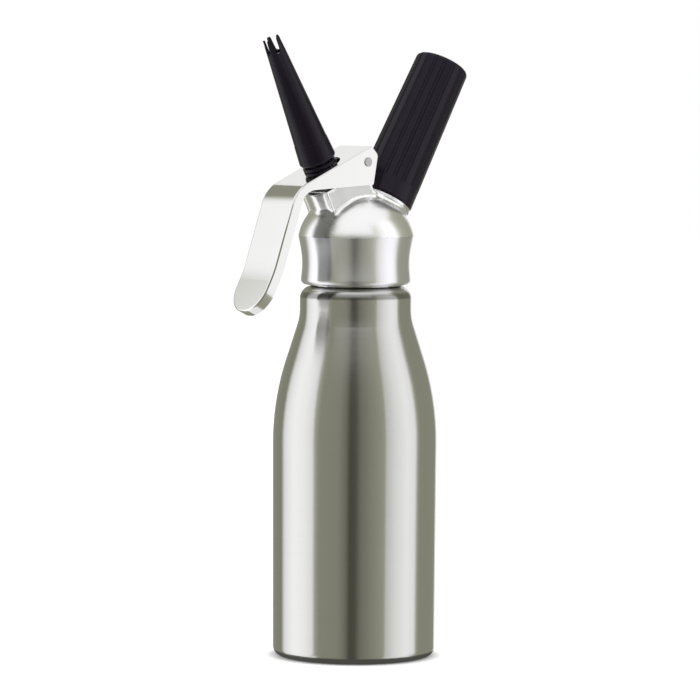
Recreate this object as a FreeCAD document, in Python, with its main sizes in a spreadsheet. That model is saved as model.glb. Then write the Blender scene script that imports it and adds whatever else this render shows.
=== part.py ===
import FreeCAD, Part
import math
import os
import re

import Sketcher

# A whipped cream dispenser: a steel bottle, a screwed-on head with a lever
# valve and a piping nozzle, and a holder that screws a gas charger down onto
# a piercing pin. Millimetres and degrees, +Z up, origin at the centre of the
# bottle's foot. The nozzle leans towards -X and the charger towards +X.
#
# Three axes are used. Pieces on the bottle axis have their heights above the
# table. The valve axis and the charger axis lean away from the bottle axis
# at one meeting point, and heights along them count from that point.

driving_sizes = {
    # how far below the bottle's mouth the three axes meet, and how far two of them lean
    "meeting_drop": 5.0,
    "valve_lean": 25.3,
    "charger_lean": 28.4,
    # clearances
    "free_gap": 0.3,
    "slip_gap": 0.1,
    "running_gap": 0.05,
    "thread_gap": 0.2,
    # bottle
    "foot_radius": 40.0,
    "foot_rounding": 4.5,
    "foot_groove_radius": 27.0,
    "foot_groove_width": 3.0,
    "foot_groove_depth": 0.5,
    "belly_radius": 40.6,
    "belly_height": 126.5,
    "belly_rounding_share": 3.317,
    "neck_radius": 27.5,
    "neck_height": 167.5,
    "neck_rounding": 24.0,
    "shoulder_rise": 15.5,
    "shoulder_rounding": 6.3,
    "shoulder_thickness": 2.6,
    "bottle_wall": 1.2,
    "threaded_length": 18.0,
    "mouth_bore": 19.0,
    # screw thread between the bottle and the head
    "head_thread_root": 21.3,
    "head_thread_crest": 22.4,
    "head_thread_pitch": 4.0,
    "head_thread_lift": 2.6,
    "head_thread_height": 10.0,
    "gasket_thickness": 2.2,
    # head casting, its heights counted from the bottle's mouth
    "seam_gap": 0.6,
    "skirt_radius": 27.3,
    "skirt_rounding": 2.4,
    "waist_radius": 26.05,
    "waist_drop": 5.3,
    "waist_rounding": 42.0,
    "crease_radius": 28.3,
    "crease_lift": 6.2,
    "dome_shoulder_radius": 26.6,
    "dome_shoulder_lift": 15.6,
    "dome_shoulder_rounding": 24.0,
    "crown_corner_radius": 12.1,
    "crown_rounding": 24.0,
    "dome_lift": 27.0,
    "cavity_radius": 18.2,
    "cavity_side_lift": 11.0,
    "cavity_lift": 17.0,
    "cavity_rounding": 5.0,
    # valve cup and saddle of the head
    "cup_radius": 10.8,
    "cup_top": 40.0,
    "cup_root": 26.0,
    "cup_bore": 8.5,
    "cup_floor": 34.0,
    "gland_bore": 5.6,
    "gland_floor": 30.0,
    "valve_bore": 4.4,
    "valve_seat": 23.5,
    "seat_face_radius": 7.5,
    "seat_face_depth": 9.0,
    "saddle_half_width": 11.5,
    "saddle_top": 41.0,
    "saddle_front_across": 8.8,
    "saddle_back_across": 11.1,
    # charger boss of the head
    "boss_radius": 13.9,
    "boss_root": 24.0,
    "boss_top": 31.6,
    "collar_radius": 14.6,
    "collar_top": 33.0,
    "stub_top": 45.0,
    "stub_bore": 9.5,
    "stub_floor": 36.3,
    "plug_bore": 7.2,
    "plug_floor": 28.0,
    "gas_bore": 2.6,
    "gas_bore_end": 17.0,
    # screw thread between the head's stub and the charger holder
    "holder_thread_root": 11.0,
    "holder_thread_crest": 11.7,
    "holder_thread_pitch": 2.0,
    "holder_thread_start": 35.4,
    "holder_thread_height": 6.0,
    # lever and its pin
    "pivot_across": 18.26,
    "pivot_up": 44.5,
    "pin_radius": 2.0,
    "pin_head_radius": 2.35,
    "pin_head_height": 0.5,
    "lug_radius": 4.2,
    "lug_foot_across": 16.6,
    "lug_foot_up": 31.8,
    "plate_top": 50.7,
    "sheet_thickness": 1.7,
    "lever_half_width": 13.5,
    "lever_edge_rounding": 0.8,
    "lever_angle": 8.0,
    "plate_back": 23.2,
    "stem_hole_radius": 5.0,
    "flange_hole_radius": 10.4,
    "flange_hole_start": 1.0,
    "bend_across": -25.6,
    "bend_rounding": 17.0,
    "handle_lean": 18.0,
    "handle_length": 41.5,
    "flare_lean": 27.0,
    "flare_length": 21.6,
    "flare_rounding": 60.0,
    "flange_depth": 5.3,
    "tip_rounding": 12.6,
    "cheek_back_across": 25.0,
    "cheek_back_up": 45.2,
    "cheek_foot_across": 16.5,
    "cheek_foot_up": 33.05,
    "cheek_front_across": -7.9,
    "cheek_front_up": 42.65,
    "cheek_rounding": 3.0,
    # valve stem, spring and seals
    "stem_radius": 3.2,
    "stem_bore": 1.9,
    "stem_tail_radius": 2.2,
    "stem_tail_end": 16.2,
    "stem_bore_end": 25.2,
    "side_port_radius": 1.0,
    "side_port_height": 26.6,
    "shoulder_radius": 6.4,
    "shoulder_bottom": 46.2,
    "stem_neck_radius": 3.4,
    "stem_end": 59.4,
    "seal_radius": 6.0,
    "seal_thickness": 3.0,
    "washer_radius": 5.3,
    "washer_thickness": 1.0,
    "nut_corner_radius": 4.4,
    "nut_thickness": 2.6,
    "stem_ring_section": 0.92,
    "gland_flange_radius": 7.7,
    "gland_flange_thickness": 1.6,
    "spring_radius": 5.5,
    "spring_wire_radius": 0.55,
    "spring_turns": 5.0,
    # nozzle adapter
    "adapter_flange_radius": 8.5,
    "adapter_flange_thickness": 1.5,
    "adapter_edge_rounding": 0.5,
    "adapter_neck_radius": 6.4,
    "adapter_lug_count": 10,
    "adapter_lug_radius": 0.9,
    "adapter_top": 61.5,
    "adapter_outlet": 2.6,
    "adapter_ring_section": 0.6,
    # screw thread between the adapter and the nozzle
    "nozzle_thread_root": 5.3,
    "nozzle_thread_crest": 5.8,
    "nozzle_thread_pitch": 1.5,
    "nozzle_thread_height": 3.0,
    # nozzle
    "nozzle_base": 53.3,
    "nozzle_base_radius": 9.35,
    "nozzle_base_rounding": 1.8,
    "nozzle_band_height": 10.9,
    "nozzle_step": 0.15,
    "nozzle_rim": 112.0,
    "nozzle_tip": 119.4,
    "nozzle_tip_radius": 4.2,
    "nozzle_tip_wall": 1.05,
    "nozzle_insert_radius": 7.3,
    "nozzle_insert_height": 7.6,
    "nozzle_seal_thickness": 1.0,
    "nozzle_throat": 5.0,
    "tooth_count": 5,
    "notch_root_width": 2.5,
    "notch_root_rounding": 1.05,
    "notch_top_width": 3.3,
    "tooth_tip_rounding": 0.7,
    # charger holder
    "holder_radius": 15.0,
    "holder_top_radius": 13.5,
    "holder_length": 76.2,
    "holder_foot_rounding": 1.2,
    "holder_top_rounding": 2.2,
    "holder_crown": 0.9,
    "holder_bore": 9.6,
    "holder_end_thickness": 3.0,
    "holder_core_radius": 6.5,
    "insert_radius": 13.0,
    "rib_count": 18,
    "groove_radius": 0.95,
    "groove_depth": 0.7,
    "groove_start": 9.4,
    # gas charger, piercing pin and check valve
    "charger_radius": 9.05,
    "charger_length": 65.5,
    "charger_neck_radius": 4.3,
    "charger_neck_length": 6.0,
    "charger_shoulder_length": 6.5,
    "charger_shoulder_rounding": 3.0,
    "charger_end_rounding": 7.2,
    "charger_wall": 1.6,
    "charger_seat": 36.5,
    "pierced_hole_radius": 1.1,
    "piercing_pin_radius": 0.8,
    "piercing_pin_tip": 38.3,
    "plug_thickness": 6.2,
    "nipple_radius": 1.3,
    "nipple_length": 4.0,
    "sleeve_thickness": 0.8,
    "port_seal_thickness": 1.6,
}

# heights above the table that follow from the sizes
heights = {
    "shoulder_top": "neck_height + shoulder_rise",
    "mouth_top": "shoulder_top + threaded_length",
    "meeting_height": "mouth_top - meeting_drop",
}

doc = FreeCAD.newDocument("whipped_cream_dispenser")
sheet = doc.addObject("Spreadsheet::Sheet", "sizes")
for row, (word, number) in enumerate(driving_sizes.items(), start=1):
    sheet.set(f"A{row}", word)
    sheet.set(f"B{row}", str(number))
    sheet.setAlias(f"B{row}", word)
doc.recompute()

sub_parts = []
on_bottle_axis = None
on_valve_axis = (FreeCAD.Vector(0, -1, 0), "valve_lean")
on_charger_axis = (FreeCAD.Vector(0, 1, 0), "charger_lean")


def bound(expression):
    """The expression with every size word pointing at the sheet."""
    def cell(match):
        word = match.group(0)
        if word in heights:
            return f"({bound(heights[word])})"
        return f"sizes.{word}" if word in driving_sizes else word
    return re.sub(r"[a-z_]+", cell, expression)


def value(expression):
    return float(sheet.evalExpression(bound(expression)))


def lean(obj, axis):
    """Stand a piece on one of the three axes."""
    if axis is on_bottle_axis:
        return
    direction, angle = axis
    turn = FreeCAD.Rotation(direction, value(angle))
    obj.Placement = FreeCAD.Placement(FreeCAD.Vector(0, 0, value("meeting_height")), turn)
    obj.setExpression("Placement.Base.z", bound("meeting_height"))
    obj.setExpression("Placement.Rotation.Angle", bound(angle))


def keep(obj, node):
    """Name a finished piece. Its node name is also its file name."""
    obj.Label = node
    sub_parts.append(obj)
    return obj


def origin_feature(body, role):
    """One of the planes or axes that a body is built on."""
    for feature in body.Origin.OriginFeatures:
        if feature.Role == role:
            return feature
    raise ValueError(f"no {role} in {body.Label}")


def new_body(name, axis):
    body = doc.addObject("PartDesign::Body", name)
    lean(body, axis)
    return body


def new_sketch(body, name, role):
    sketch = body.newObject("Sketcher::SketchObject", name)
    sketch.AttachmentSupport = (origin_feature(body, role), "")
    sketch.MapMode = "FlatFace"
    return sketch


def constrain(sketch, kind, *places, size):
    number = sketch.addConstraint(Sketcher.Constraint(kind, *places, value(size)))
    sketch.setExpression(f"Constraints[{number}]", bound(size))


def pin_point(sketch, geometry, end, corner):
    """Tie a point of the sketch to its two coordinates."""
    for kind, size in zip(("DistanceX", "DistanceY"), corner):
        constrain(sketch, kind, -1, 1, geometry, end, size=size)


def corner_tangents(before, here, after, radius):
    """Where an arc of this radius leaves and joins the two edges at a corner."""
    back = (before - here).normalize()
    ahead = (after - here).normalize()
    half_turn = back.getAngle(ahead) / 2
    reach = radius / math.tan(half_turn)
    middle = here + (back + ahead).normalize() * (radius / math.sin(half_turn) - radius)
    return here + back * reach, middle, here + ahead * reach


def draw_outline(sketch, corners):
    """A closed outline. A corner is (across, up) or, where it is rounded, (across, up, radius)."""
    count = len(corners)
    points = [FreeCAD.Vector(value(c[0]), value(c[1]), 0) for c in corners]
    arrive, leave, middles = list(points), list(points), {}
    for i, corner in enumerate(corners):
        if len(corner) == 3:
            around = points[i - 1], points[i], points[(i + 1) % count]
            arrive[i], middles[i], leave[i] = corner_tangents(*around, value(corner[2]))
    edges = []
    for i in range(count):
        line = Part.LineSegment(leave[i], arrive[(i + 1) % count])
        edges.append(sketch.addGeometry(line, False))
    for i, corner in enumerate(corners):
        before, after = edges[i - 1], edges[i]
        if i not in middles:
            sketch.addConstraint(Sketcher.Constraint("Coincident", before, 2, after, 1))
            pin_point(sketch, after, 1, corner[:2])
            continue
        arc = sketch.addGeometry(Part.Arc(arrive[i], middles[i], leave[i]), False)
        turn = (points[i] - points[i - 1]).cross(points[(i + 1) % count] - points[i]).z
        first, last = (1, 2) if turn > 0 else (2, 1)
        sketch.addConstraint(Sketcher.Constraint("Tangent", before, 2, arc, first))
        sketch.addConstraint(Sketcher.Constraint("Tangent", arc, last, after, 1))
        constrain(sketch, "Radius", arc, size=corner[2])
        apex = sketch.addGeometry(Part.Point(points[i]), True)
        pin_point(sketch, apex, 1, corner[:2])
        sketch.addConstraint(Sketcher.Constraint("PointOnObject", apex, 1, before))
        sketch.addConstraint(Sketcher.Constraint("PointOnObject", apex, 1, after))


def turned(name, axis, corners):
    """A piece turned about its axis from a half section of (radius, height) corners."""
    body = new_body(name, axis)
    sketch = new_sketch(body, f"{name}_section", "XZ_Plane")
    draw_outline(sketch, corners)
    solid = body.newObject("PartDesign::Revolution", f"{name}_turned")
    solid.Profile = sketch
    solid.ReferenceAxis = (sketch, ["V_Axis"])
    solid.Angle = 360
    return body


def add_thread(body, name, root, crest, middle, pitch, height):
    """A helical ridge from the root radius to the crest radius, half a pitch wide at its root."""
    sketch = new_sketch(body, f"{name}_ridge", "XZ_Plane")
    sunk = f"{root} - ({crest} - ({root})) / 8"
    draw_outline(sketch, [
        (sunk, f"{middle} - {pitch} / 4"),
        (crest, f"{middle} - {pitch} / 8"),
        (crest, f"{middle} + {pitch} / 8"),
        (sunk, f"{middle} + {pitch} / 4"),
    ])
    thread = body.newObject("PartDesign::AdditiveHelix", name)
    thread.Profile = sketch
    thread.ReferenceAxis = (sketch, ["V_Axis"])
    thread.Mode = 0
    thread.setExpression("Pitch", bound(pitch))
    thread.setExpression("Height", bound(height))
    return thread


def cylinder(name, axis, radius, bottom, top):
    """A plain round bar along an axis, used to build up or bore a casting."""
    bar = doc.addObject("Part::Cylinder", name)
    lean(bar, axis)
    bar.setExpression("Radius", bound(radius))
    bar.setExpression("Height", bound(f"({top}) - ({bottom})"))
    if axis is on_bottle_axis:
        bar.setExpression("Placement.Base.z", bound(bottom))
        return bar
    side = "-" if axis is on_valve_axis else ""
    angle = axis[1]
    bar.setExpression("Placement.Base.x", bound(f"{side}({bottom}) * sin({angle})"))
    bar.setExpression("Placement.Base.z", bound(f"meeting_height + ({bottom}) * cos({angle})"))
    return bar


def extruded(name, axis, corners, width):
    """A block of this outline across the valve plane, with its middle on it."""
    body = new_body(name, axis)
    sketch = new_sketch(body, f"{name}_outline", "XZ_Plane")
    draw_outline(sketch, corners)
    block = body.newObject("PartDesign::Pad", f"{name}_pad")
    block.Profile = sketch
    block.Midplane = True
    block.setExpression("Length", bound(width))
    return body


def fuse(name, pieces):
    joined = doc.addObject("Part::MultiFuse", name)
    joined.Shapes = pieces
    joined.Refine = True
    return joined


def cut(name, base, tool):
    rest = doc.addObject("Part::Cut", name)
    rest.Base = base
    rest.Tool = tool
    rest.Refine = True
    return rest


def ring(name, axis, middle_radius, section, height):
    """A round sealing ring."""
    torus = doc.addObject("Part::Torus", name)
    lean(torus, axis)
    torus.setExpression("Radius1", bound(middle_radius))
    torus.setExpression("Radius2", bound(section))
    side = "-" if axis is on_valve_axis else ""
    angle = axis[1]
    torus.setExpression("Placement.Base.x", bound(f"{side}({height}) * sin({angle})"))
    torus.setExpression("Placement.Base.z", bound(f"meeting_height + ({height}) * cos({angle})"))
    return torus


def make_bottle():
    """A drawn steel bottle with a flat foot, a long curved shoulder and a threaded neck."""
    groove_out = "foot_groove_radius + foot_groove_width"
    # the belly's rounding goes with the height of the shoulder that it leads into
    belly_rounding = "(neck_height - belly_height) * belly_rounding_share"
    bottle = turned("bottle", on_bottle_axis, [
        ("0", "0"),
        ("foot_groove_radius", "0"),
        ("foot_groove_radius", "foot_groove_depth"),
        (groove_out, "foot_groove_depth"),
        (groove_out, "0"),
        ("foot_radius", "0", "foot_rounding"),
        ("belly_radius", "belly_height", belly_rounding),
        ("neck_radius", "neck_height", "neck_rounding"),
        ("neck_radius", "shoulder_top", "shoulder_rounding"),
        ("head_thread_root", "shoulder_top"),
        ("head_thread_root", "mouth_top"),
        ("mouth_bore", "mouth_top"),
        ("mouth_bore", "shoulder_top - shoulder_thickness"),
        ("neck_radius - bottle_wall", "shoulder_top - shoulder_thickness",
         "shoulder_rounding - bottle_wall"),
        ("neck_radius - bottle_wall", "neck_height", "neck_rounding + bottle_wall"),
        ("belly_radius - bottle_wall", "belly_height", f"{belly_rounding} - bottle_wall"),
        ("foot_radius - bottle_wall", "bottle_wall + foot_groove_depth",
         "foot_rounding - bottle_wall"),
        ("0", "bottle_wall + foot_groove_depth"),
    ])
    add_thread(bottle, "bottle_thread", "head_thread_root", "head_thread_crest",
               "shoulder_top + head_thread_lift + head_thread_pitch / 4",
               "head_thread_pitch", "head_thread_height")
    keep(bottle, "bottle")


def make_gasket():
    inner = "mouth_bore"
    outer = "head_thread_crest - slip_gap"
    bottom = "mouth_top + slip_gap"
    top = "mouth_top + slip_gap + gasket_thickness"
    gasket = turned("gasket", on_bottle_axis, [
        (inner, bottom), (outer, bottom), (outer, top), (inner, top),
    ])
    keep(gasket, "head_gasket")


def make_head():
    """The cast head: a threaded skirt and dome, a valve cup, the lever's saddle and the charger's stub."""
    bore = "head_thread_crest + thread_gap"
    gasket_seat = "mouth_top + gasket_thickness + 2 * slip_gap"
    skirt_bottom = "shoulder_top + seam_gap"
    skin = turned("skin", on_bottle_axis, [
        (bore, skirt_bottom),
        ("skirt_radius", skirt_bottom, "skirt_rounding"),
        ("waist_radius", "mouth_top - waist_drop", "waist_rounding"),
        ("crease_radius", "mouth_top + crease_lift"),
        ("dome_shoulder_radius", "mouth_top + dome_shoulder_lift", "dome_shoulder_rounding"),
        ("crown_corner_radius", "mouth_top + dome_lift", "crown_rounding"),
        ("0", "mouth_top + dome_lift"),
        ("0", "mouth_top + cavity_lift"),
        ("cavity_radius", "mouth_top + cavity_side_lift", "cavity_rounding"),
        ("cavity_radius", gasket_seat),
        (bore, gasket_seat),
    ])
    add_thread(skin, "skin_thread", bore, "head_thread_root + thread_gap",
               "shoulder_top + head_thread_lift + head_thread_pitch * 3 / 4",
               "head_thread_pitch", "head_thread_height - head_thread_pitch / 2")
    cup = cylinder("cup", on_valve_axis, "cup_radius", "cup_root", "cup_top")
    saddle = extruded("saddle", on_valve_axis, [
        ("-saddle_front_across", "cup_root"),
        ("-saddle_front_across", "saddle_top"),
        ("saddle_back_across", "saddle_top", "lug_radius / 2"),
        ("pivot_across - lug_radius", "pivot_up"),
        ("pivot_across + lug_radius", "pivot_up"),
        ("lug_foot_across", "lug_foot_up"),
        ("lug_foot_across", "cup_root"),
    ], "2 * saddle_half_width")
    nose = doc.addObject("Part::Cylinder", "nose")
    across_the_pin(nose, "lug_radius", "saddle_half_width")
    boss = cylinder("boss", on_charger_axis, "boss_radius", "boss_root", "boss_top")
    wing = extruded("wing", on_charger_axis, [
        ("-boss_radius", "boss_root"),
        ("0", "boss_root"),
        ("0", "boss_top"),
        ("-boss_radius", "boss_top"),
    ], "2 * saddle_half_width")
    collar = cylinder("collar", on_charger_axis, "collar_radius", "boss_top", "collar_top")
    stub = turned("stub", on_charger_axis, [
        ("stub_bore", "boss_root"),
        ("holder_thread_root", "boss_root"),
        ("holder_thread_root", "stub_top"),
        ("stub_bore", "stub_top"),
    ])
    add_thread(stub, "stub_thread", "holder_thread_root", "holder_thread_crest",
               "holder_thread_start + holder_thread_pitch / 4", "holder_thread_pitch",
               "holder_thread_height")
    casting = fuse("casting", [skin, cup, saddle, nose, boss, wing, collar, stub])
    bores = fuse("head_bores", [
        cylinder("bore_valve", on_valve_axis, "valve_bore", "valve_seat - slip_gap", "cup_top"),
        cylinder("bore_gland", on_valve_axis, "gland_bore", "gland_floor", "cup_top"),
        cylinder("bore_cup", on_valve_axis, "cup_bore", "cup_floor", "cup_top + cup_bore"),
        cylinder("bore_seat", on_valve_axis, "seat_face_radius",
                 "valve_seat - seat_face_depth", "valve_seat"),
        cylinder("bore_stub", on_charger_axis, "stub_bore", "stub_floor", "stub_top + stub_bore"),
        cylinder("bore_plug", on_charger_axis, "plug_bore", "plug_floor", "stub_top"),
        cylinder("bore_gas", on_charger_axis, "gas_bore", "gas_bore_end", "stub_top"),
        across_the_pin(doc.addObject("Part::Cylinder", "bore_pin"),
                       "pin_radius", "lever_half_width * 2"),
    ])
    keep(cut("head_cut", casting, bores), "head")


def across_the_pin(bar, radius, half_length):
    """Lay a bar along the lever's pivot, across the valve plane."""
    bar.Placement = FreeCAD.Placement(
        FreeCAD.Vector(0, 0, 0), FreeCAD.Rotation(FreeCAD.Vector(1, 0, 0), 90))
    bar.setExpression("Radius", bound(radius))
    bar.setExpression("Height", bound(f"2 * ({half_length})"))
    bar.setExpression("Placement.Base.x", bound(
        "pivot_across * cos(valve_lean) - pivot_up * sin(valve_lean)"))
    bar.setExpression("Placement.Base.y", bound(half_length))
    bar.setExpression("Placement.Base.z", bound(
        "meeting_height + pivot_across * sin(valve_lean) + pivot_up * cos(valve_lean)"))
    return bar


def rounded_block(corners, half_width):
    """A block across the valve plane from an outline of (x, z, radius) corners."""
    count = len(corners)
    points = [FreeCAD.Vector(x, 0, z) for x, z, radius in corners]
    rounds = []
    for i, (x, z, radius) in enumerate(corners):
        if radius:
            around = points[i - 1], points[i], points[(i + 1) % count]
            rounds.append(corner_tangents(*around, radius))
        else:
            rounds.append((points[i], None, points[i]))
    edges = []
    for i, (arrive, middle, leave) in enumerate(rounds):
        if middle:
            edges.append(Part.Arc(arrive, middle, leave).toShape())
        edges.append(Part.LineSegment(leave, rounds[(i + 1) % count][0]).toShape())
    face = Part.Face(Part.Wire(edges))
    face.translate(FreeCAD.Vector(0, -half_width, 0))
    return face.extrude(FreeCAD.Vector(0, 2 * half_width, 0))


def along_valve(across, up):
    """Where a place of the valve axis's own frame lies, from the meeting point."""
    angle = math.radians(value("valve_lean"))
    return (across * math.cos(angle) - up * math.sin(angle),
            across * math.sin(angle) + up * math.cos(angle))


def lever_path(inset):
    """The lever's outer line from the back of its plate to its tip, moved inwards by the inset."""
    lean_angles = [90 - value("valve_lean"), value("handle_lean"), value("flare_lean")]
    x, z = along_valve(value("plate_back"), value("plate_top"))
    lengths = [value("plate_back") - value("bend_across"), value("handle_length"),
               value("flare_length")]
    path = [(x, z)]
    for angle, length in zip(lean_angles, lengths):
        x -= length * math.sin(math.radians(angle))
        z -= length * math.cos(math.radians(angle))
        path.append((x, z))
    moved = []
    for i, (x, z) in enumerate(path):
        before = math.radians(lean_angles[max(i - 1, 0)])
        after = math.radians(lean_angles[min(i, 2)])
        middle = (before + after) / 2
        reach = inset / math.cos((before - after) / 2)
        moved.append((x + reach * math.cos(middle), z - reach * math.sin(middle)))
    return moved


def runs_along(edge, start, end):
    """Whether an edge lies on the line between two (x, z) places, on one side of the middle plane."""
    touching = 0.01
    run = FreeCAD.Vector(end[0] - start[0], 0, end[1] - start[1]).normalize()
    for vertex in edge.Vertexes:
        offset = FreeCAD.Vector(vertex.X - start[0], 0, vertex.Z - start[1])
        if offset.cross(run).Length > touching:
            return False
    return edge.Vertexes[0].Y * edge.Vertexes[-1].Y > 0


def rounded(block, radius, start, end):
    """A block with its edges on this line rounded, on both sides of the middle plane."""
    return block.makeFillet(radius, [edge for edge in block.Edges if runs_along(edge, start, end)])


def make_lever():
    """One bent sheet: a plate over the valve with a cheek on each side, and a channel for a handle."""
    sheet_metal, half_width = value("sheet_thickness"), value("lever_half_width")
    bend, flare = value("bend_rounding"), value("flare_rounding")
    tip_round, cheek_round = value("tip_rounding"), value("cheek_rounding")
    rounding = value("lever_edge_rounding")
    depth = value("flange_depth")
    outer = lever_path(0)
    flange = lever_path(depth)
    front = along_valve(value("cheek_front_across"), value("cheek_front_up"))
    foot = along_valve(value("cheek_foot_across"), value("cheek_foot_up"))
    back = along_valve(value("cheek_back_across"), value("cheek_back_up"))
    # the flange's edge runs straight on from the handle until it meets the cheek's lower edge
    flange_run = ((flange[1][0] - flange[2][0]) / (flange[1][1] - flange[2][1]))
    cheek_run = (foot[1] - front[1]) / (foot[0] - front[0])
    elbow_z = ((front[1] + cheek_run * (flange[2][0] - front[0] - flange_run * flange[2][1]))
               / (1 - cheek_run * flange_run))
    elbow_x = flange[2][0] + flange_run * (elbow_z - flange[2][1])
    body = rounded_block([
        (*outer[0], 0), (*outer[1], bend), (*outer[2], flare), (*outer[3], 0),
        (*flange[3], 0), (*flange[2], flare - depth),
        (elbow_x, elbow_z, bend / 2), (*foot, cheek_round / 4), (*back, cheek_round),
    ], half_width)
    body = rounded(body, tip_round, outer[3], flange[3])
    body = rounded(body, rounding, outer[1], outer[2])

    inner = lever_path(sheet_metal)
    beyond = 3 * depth
    past = lever_path(2 * beyond)
    angle = math.radians(value("flare_lean"))
    back_off = (sheet_metal * math.sin(angle), sheet_metal * math.cos(angle))
    end = (inner[3][0] + back_off[0], inner[3][1] + back_off[1])
    opening = (past[3][0] + back_off[0], past[3][1] + back_off[1])
    behind = along_valve(value("plate_back") + beyond, value("plate_top") - sheet_metal)
    below = along_valve(value("plate_back") + beyond, value("cheek_foot_up") - beyond)
    hollow = rounded_block([
        (*behind, 0), (*inner[1], bend - sheet_metal), (*inner[2], flare - sheet_metal),
        (*end, 0), (*opening, 0), (*below, 0),
    ], half_width - sheet_metal)
    hollow = rounded(hollow, tip_round - sheet_metal, end, opening)
    body = body.cut(hollow)

    lean_turn = FreeCAD.Rotation(FreeCAD.Vector(0, -1, 0), value("valve_lean"))
    valve_line = lean_turn.multVec(FreeCAD.Vector(0, 0, 1))
    # the holes' cutters stand out of the plate by its thickness on both faces
    cutter_bottom = value("plate_top") - 2 * sheet_metal
    cutter_height = 3 * sheet_metal
    under_plate = valve_line * cutter_bottom
    stem_hole = Part.makeCylinder(value("stem_hole_radius"), cutter_height,
                                  under_plate, valve_line)
    # behind the stem the hole is wide enough for the adapter's flange to dip into it
    flange_hole = Part.makeCylinder(value("flange_hole_radius"), cutter_height,
                                    under_plate, valve_line)
    kept_plate = Part.makeBox(2 * half_width, 2 * half_width, cutter_height,
                              FreeCAD.Vector(value("flange_hole_start") - 2 * half_width,
                                             -half_width, cutter_bottom))
    kept_plate.Placement = FreeCAD.Placement(FreeCAD.Vector(0, 0, 0), lean_turn)
    flange_hole = flange_hole.cut(kept_plate)
    pivot_x, pivot_z = along_valve(value("pivot_across"), value("pivot_up"))
    pin_hole = Part.makeCylinder(value("pin_radius + running_gap"), 4 * half_width,
                                 FreeCAD.Vector(pivot_x, -2 * half_width, pivot_z),
                                 FreeCAD.Vector(0, 1, 0))
    lever = doc.addObject("Part::Feature", "lever_sheet")
    lever.Shape = body.cut(stem_hole).cut(flange_hole).cut(pin_hole)
    lever.Placement = FreeCAD.Placement(
        FreeCAD.Vector(0, 0, value("meeting_height")), FreeCAD.Rotation())
    keep(lever, "lever")


def make_lever_pin():
    """A plain rivet through the head's lug and both cheeks, with a low head at each end."""
    outside = "lever_half_width + running_gap + pin_head_height"
    shaft = across_the_pin(doc.addObject("Part::Cylinder", "pin_shaft"), "pin_radius", outside)
    heads = []
    for side in (1, -1):
        head = doc.addObject("Part::Cone", "pin_head")
        tilt = FreeCAD.Rotation(FreeCAD.Vector(1, 0, 0), -90 * side)
        head.Placement = FreeCAD.Placement(FreeCAD.Vector(0, 0, 0), tilt)
        head.setExpression("Radius1", bound("pin_head_radius"))
        head.setExpression("Radius2", bound("pin_radius / 2"))
        head.setExpression("Height", bound("pin_head_height"))
        head.setExpression("Placement.Base.x", bound(
            "pivot_across * cos(valve_lean) - pivot_up * sin(valve_lean)"))
        head.setExpression("Placement.Base.y", bound(
            f"{side} * (lever_half_width + running_gap)"))
        head.setExpression("Placement.Base.z", bound(
            "meeting_height + pivot_across * sin(valve_lean) + pivot_up * cos(valve_lean)"))
        heads.append(head)
    keep(fuse("pin_fused", [shaft] + heads), "lever_pin")


def make_valve():
    """The hollow stem with its seal stack below and its shoulder under the lever."""
    shoulder_face = "plate_top - sheet_thickness - free_gap"
    slope = "tan(lever_angle)"
    tail_top = "valve_seat - slip_gap"
    stem = turned("stem", on_valve_axis, [
        ("0", "stem_tail_end"),
        ("stem_tail_radius", "stem_tail_end"),
        ("stem_tail_radius", tail_top),
        ("stem_radius", tail_top),
        ("stem_radius", "shoulder_bottom"),
        ("shoulder_radius", "shoulder_bottom"),
        ("shoulder_radius", f"{shoulder_face} - shoulder_radius * {slope}"),
        ("stem_neck_radius", f"{shoulder_face} - stem_neck_radius * {slope}"),
        ("stem_neck_radius", "stem_end"),
        ("stem_bore", "stem_end"),
        ("stem_bore", "stem_bore_end"),
        ("0", "stem_bore_end"),
    ])
    port = doc.addObject("Part::Cylinder", "side_port")
    port.Placement = FreeCAD.Placement(
        FreeCAD.Vector(0, 0, 0), FreeCAD.Rotation(FreeCAD.Vector(1, 0, 0), 90))
    port.setExpression("Radius", bound("side_port_radius"))
    port.setExpression("Height", bound("4 * stem_radius"))
    port.setExpression("Placement.Base.x", bound("-side_port_height * sin(valve_lean)"))
    port.setExpression("Placement.Base.y", bound("2 * stem_radius"))
    port.setExpression("Placement.Base.z", bound(
        "meeting_height + side_port_height * cos(valve_lean)"))
    keep(cut("stem_cut", stem, port), "valve_stem")

    seal_bottom = f"{tail_top} - seal_thickness"
    seal = turned("seal", on_valve_axis, [
        ("stem_tail_radius", seal_bottom),
        ("seal_radius", seal_bottom),
        ("seal_radius", tail_top),
        ("stem_tail_radius", tail_top),
    ])
    keep(seal, "valve_seal")
    washer_bottom = f"{seal_bottom} - washer_thickness"
    washer = turned("washer", on_valve_axis, [
        ("stem_tail_radius", washer_bottom),
        ("washer_radius", washer_bottom),
        ("washer_radius", seal_bottom),
        ("stem_tail_radius", seal_bottom),
    ])
    keep(washer, "seal_washer")
    nut_bottom = f"{washer_bottom} - nut_thickness"
    hexagon = doc.addObject("Part::Prism", "nut_hexagon")
    hexagon.Polygon = 6
    lean(hexagon, on_valve_axis)
    hexagon.setExpression("Circumradius", bound("nut_corner_radius"))
    hexagon.setExpression("Height", bound("nut_thickness"))
    hexagon.setExpression("Placement.Base.x", bound(f"-({nut_bottom}) * sin(valve_lean)"))
    hexagon.setExpression("Placement.Base.z", bound(
        f"meeting_height + ({nut_bottom}) * cos(valve_lean)"))
    nut_hole = cylinder("nut_hole", on_valve_axis, "stem_tail_radius", nut_bottom, washer_bottom)
    keep(cut("nut_cut", hexagon, nut_hole), "valve_nut")


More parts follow.
